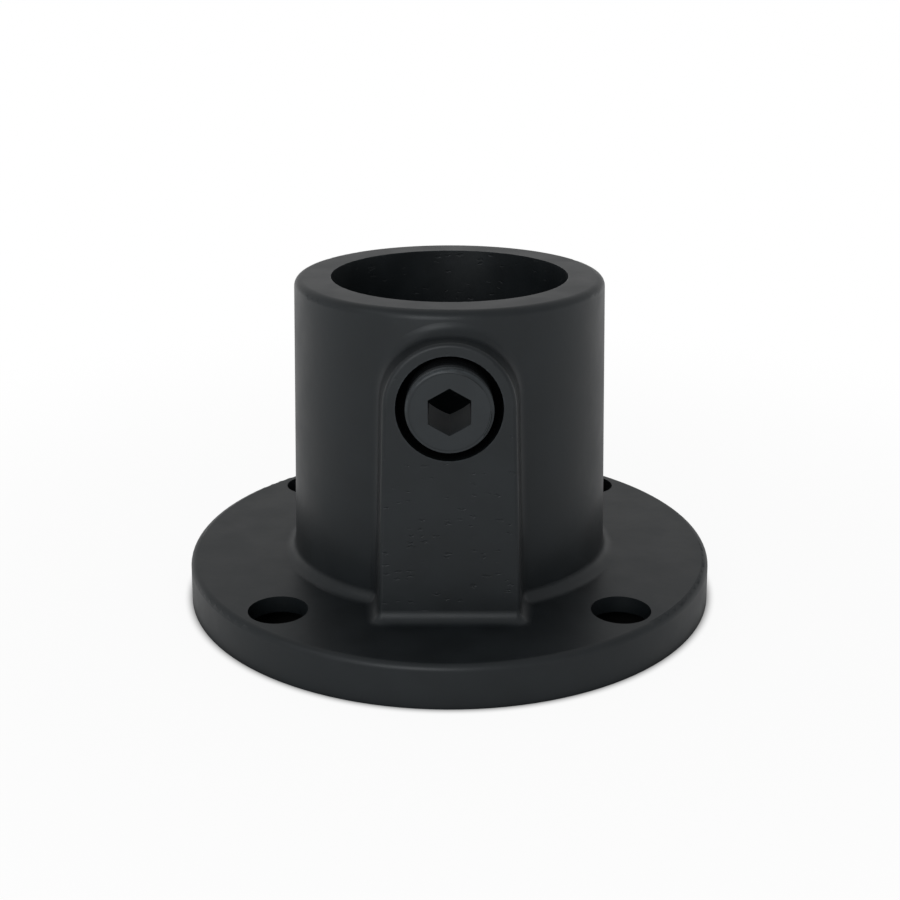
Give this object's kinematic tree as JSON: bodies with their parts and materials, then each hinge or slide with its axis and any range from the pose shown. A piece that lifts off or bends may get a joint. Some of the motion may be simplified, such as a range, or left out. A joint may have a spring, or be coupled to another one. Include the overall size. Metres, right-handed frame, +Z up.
{
  "type": "tube clamp base flange",
  "caption": "Round cast base flange with an upright tube sleeve, a side boss holding a hex socket set screw, and fixing holes round the disc.",
  "frame": {"origin": "centre of the underside, on the axis of the tube bore", "axes": "+Z up the tube bore, -Y out of the set screw's boss, +X to the right seen from the boss side"},
  "size_m": [0.114, 0.114, 0.0693],
  "materials": {
    "coated_casting": "satin black coat over cast iron",
    "coated_steel": "satin black coat over steel"
  },
  "bodies": {
    "flange": {"flange_casting": "coated_casting"},
    "screw": {"set_screw": "coated_steel"}
  },
  "joints": [
    {"name": "screw_travel", "type": "slide", "parent": "flange", "child": "screw", "axis": [0, 1, 0], "range_m": [-0.00535, 0.00267]}
  ]
}
